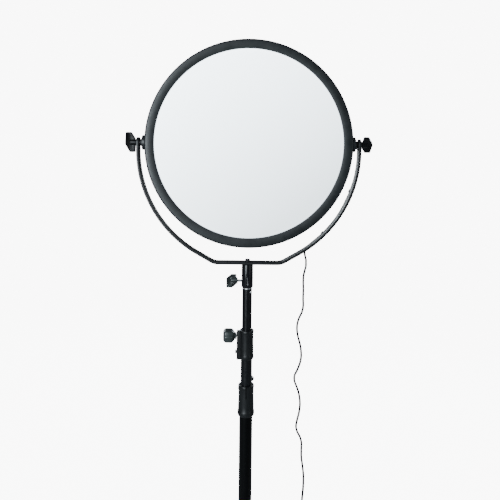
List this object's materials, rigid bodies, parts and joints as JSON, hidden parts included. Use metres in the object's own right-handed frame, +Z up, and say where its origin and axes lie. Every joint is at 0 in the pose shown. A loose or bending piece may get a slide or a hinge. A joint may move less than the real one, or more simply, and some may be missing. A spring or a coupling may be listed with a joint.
{
  "type": "led soft light on stand",
  "caption": "Round flat LED soft light panel in a U-shaped yoke on a telescopic tripod light stand, with clamp knobs, rear control box and mains lead.",
  "frame": {"origin": "on the floor, midway between the outermost points of the feet", "axes": "+Z up, the panel faces -Y and tilts about X"},
  "size_m": [0.838, 0.7304, 1.715],
  "materials": {
    "black_frame": "satin black paint",
    "black_bar": "satin black paint",
    "black_cover": "satin",
    "opal": "satin opal",
    "acrylic": "clear gloss",
    "white_sheet": "matt white",
    "strip": "lacquered board",
    "bare_aluminium": "mill finish",
    "black_plastic": "fine texture",
    "smoked_window": "gloss",
    "board": "lacquered board",
    "knob_plastic": "satin",
    "plated_steel": "zinc plated",
    "black_tube": "black anodised",
    "black_collar": "satin",
    "clip_plastic": "satin",
    "rubber": "matt",
    "cord_jacket": "satin",
    "tie_strap": "woven"
  },
  "bodies": {
    "base": {"main_tube": "black_tube", "tube_end_cap": "clip_plastic", "middle_collar": "black_collar", "middle_collar_bolt": "plated_steel", "brace_collar": "black_collar", "cord_coil": "cord_jacket", "cord_tie": "tie_strap", "mains_plug": "cord_jacket"},
    "leg_slider": {"leg_collar": "black_collar"},
    "middle_section": {"middle_riser": "black_tube", "middle_riser_bush": "clip_plastic", "upper_collar": "black_collar", "upper_collar_bolt": "plated_steel"},
    "top_section": {"top_riser": "black_tube", "top_riser_bush": "clip_plastic", "stand_stud": "plated_steel", "stud_rivet": "plated_steel", "cord_drop": "cord_jacket"},
    "yoke": {"yoke_bar": "black_bar", "yoke_receiver": "black_bar", "yoke_bolt": "plated_steel", "tilt_bush_left": "clip_plastic", "tilt_bush_right": "clip_plastic", "cord_yoke_run": "cord_jacket", "yoke_cord_clip_upper": "clip_plastic", "yoke_cord_clip_lower": "clip_plastic"},
    "head": {"head_ring": "black_frame", "diffuser": "opal", "light_guide": "acrylic", "reflector_sheet": "white_sheet", "led_strip": "strip", "inner_tray": "bare_aluminium", "back_cover": "black_cover", "control_box": "black_plastic", "display_window": "smoked_window", "driver_board": "board", "mains_inlet": "black_plastic", "cord_connector": "cord_jacket", "cord_head_run": "cord_jacket", "head_cord_clip": "clip_plastic"},
    "dial_brightness": {"dial_brightness": "knob_plastic"},
    "dial_colour": {"dial_colour": "knob_plastic"},
    "power_switch": {"power_switch": "knob_plastic"},
    "leg_1": {"leg_1": "black_tube", "foot_1": "rubber"},
    "brace_1": {"brace_1": "black_tube"},
    "leg_2": {"leg_2": "black_tube", "foot_2": "rubber"},
    "brace_2": {"brace_2": "black_tube"},
    "leg_3": {"leg_3": "black_tube", "foot_3": "rubber"},
    "brace_3": {"brace_3": "black_tube"},
    "tilt_knob_left": {"tilt_knob_left": "knob_plastic"},
    "tilt_knob_right": {"tilt_knob_right": "knob_plastic"},
    "receiver_knob": {"receiver_knob": "knob_plastic"},
    "upper_collar_knob": {"upper_collar_knob": "knob_plastic"},
    "middle_collar_knob": {"middle_collar_knob": "knob_plastic"},
    "leg_collar_knob": {"leg_collar_knob": "knob_plastic"}
  },
  "joints": [
    {"name": "middle_slide", "type": "slide", "parent": "base", "child": "middle_section", "axis": [0, 0, 1], "range_m": [-0.045, 0.58]},
    {"name": "top_slide", "type": "slide", "parent": "middle_section", "child": "top_section", "axis": [0, 0, 1], "range_m": [-0.083, 0.55]},
    {"name": "pan", "type": "hinge", "parent": "top_section", "child": "yoke", "pos_m": [0, -0.11548, 1.1925], "axis": [0, 0, 1], "range_deg": [-180, 180]},
    {"name": "tilt", "type": "hinge", "parent": "yoke", "child": "head", "pos_m": [0, -0.11548, 1.48], "axis": [1, 0, 0], "range_deg": [-90, 90]},
    {"name": "leg_slide", "type": "slide", "parent": "base", "child": "leg_slider", "axis": [0, 0, 1], "range_m": [0, 0.1794]},
    {"name": "leg_1_fold", "type": "hinge", "parent": "leg_slider", "child": "leg_1", "pos_m": [0, -0.08248, 0.47], "axis": [-1, 0, 0], "range_deg": [0, 40.1]},
    {"name": "leg_2_fold", "type": "hinge", "parent": "leg_slider", "child": "leg_2", "pos_m": [-0.02858, -0.13198, 0.47], "axis": [0.5, -0.866, 0], "range_deg": [0, 40.1]},
    {"name": "leg_3_fold", "type": "hinge", "parent": "leg_slider", "child": "leg_3", "pos_m": [0.02858, -0.13198, 0.47], "axis": [0.5, 0.866, 0], "range_deg": [0, 40.1]},
    {"name": "brace_1_fold", "type": "hinge", "parent": "base", "child": "brace_1", "pos_m": [0, -0.09148, 0.1], "axis": [-1, 0, 0], "range_deg": [-52.37, 0]},
    {"name": "brace_2_fold", "type": "hinge", "parent": "base", "child": "brace_2", "pos_m": [-0.02079, -0.12748, 0.1], "axis": [0.5, -0.866, 0], "range_deg": [-52.37, 0]},
    {"name": "brace_3_fold", "type": "hinge", "parent": "base", "child": "brace_3", "pos_m": [0.02079, -0.12748, 0.1], "axis": [0.5, 0.866, 0], "range_deg": [-52.37, 0]},
    {"name": "dial_brightness_turn", "type": "hinge", "parent": "head", "child": "dial_brightness", "pos_m": [-0.033, -0.06718, 1.468], "axis": [0, 1, 0], "range_deg": [0, 300]},
    {"name": "dial_colour_turn", "type": "hinge", "parent": "head", "child": "dial_colour", "pos_m": [0.033, -0.06718, 1.468], "axis": [0, 1, 0], "range_deg": [0, 300]},
    {"name": "power_rock", "type": "hinge", "parent": "head", "child": "power_switch", "pos_m": [0, -0.06843, 1.447], "axis": [1, 0, 0], "range_deg": [-16, 0]},
    {"name": "tilt_knob_left_turn", "type": "hinge", "parent": "yoke", "child": "tilt_knob_left", "pos_m": [-0.2542, -0.11548, 1.48], "axis": [-1, 0, 0], "range_deg": [0, 360]},
    {"name": "tilt_knob_right_turn", "type": "hinge", "parent": "yoke", "child": "tilt_knob_right", "pos_m": [0.2542, -0.11548, 1.48], "axis": [1, 0, 0], "range_deg": [0, 360]},
    {"name": "receiver_knob_turn", "type": "hinge", "parent": "yoke", "child": "receiver_knob", "pos_m": [-0.0214, -0.11548, 1.1686], "axis": [-1, 0, 0], "range_deg": [0, 360]},
    {"name": "upper_collar_knob_turn", "type": "hinge", "parent": "middle_section", "child": "upper_collar_knob", "pos_m": [-0.023, -0.11548, 1.0435], "axis": [-1, 0, 0], "range_deg": [0, 360]},
    {"name": "middle_collar_knob_turn", "type": "hinge", "parent": "base", "child": "middle_collar_knob", "pos_m": [0, -0.09048, 0.919], "axis": [0, 1, 0], "range_deg": [0, 360]},
    {"name": "leg_collar_knob_turn", "type": "hinge", "parent": "leg_slider", "child": "leg_collar_knob", "pos_m": [-0.02148, -0.10308, 0.47], "axis": [-0.866, 0.5, 0], "range_deg": [0, 360]}
  ],
  "couplings": [
    {"joint": "leg_1_fold", "follows": "leg_slide", "rad_per_m": 3.8915},
    {"joint": "leg_2_fold", "follows": "leg_slide", "rad_per_m": 3.8915},
    {"joint": "leg_3_fold", "follows": "leg_slide", "rad_per_m": 3.8915},
    {"joint": "brace_1_fold", "follows": "leg_slide", "rad_per_m": -5.085},
    {"joint": "brace_2_fold", "follows": "leg_slide", "rad_per_m": -5.085},
    {"joint": "brace_3_fold", "follows": "leg_slide", "rad_per_m": -5.085}
  ]
}
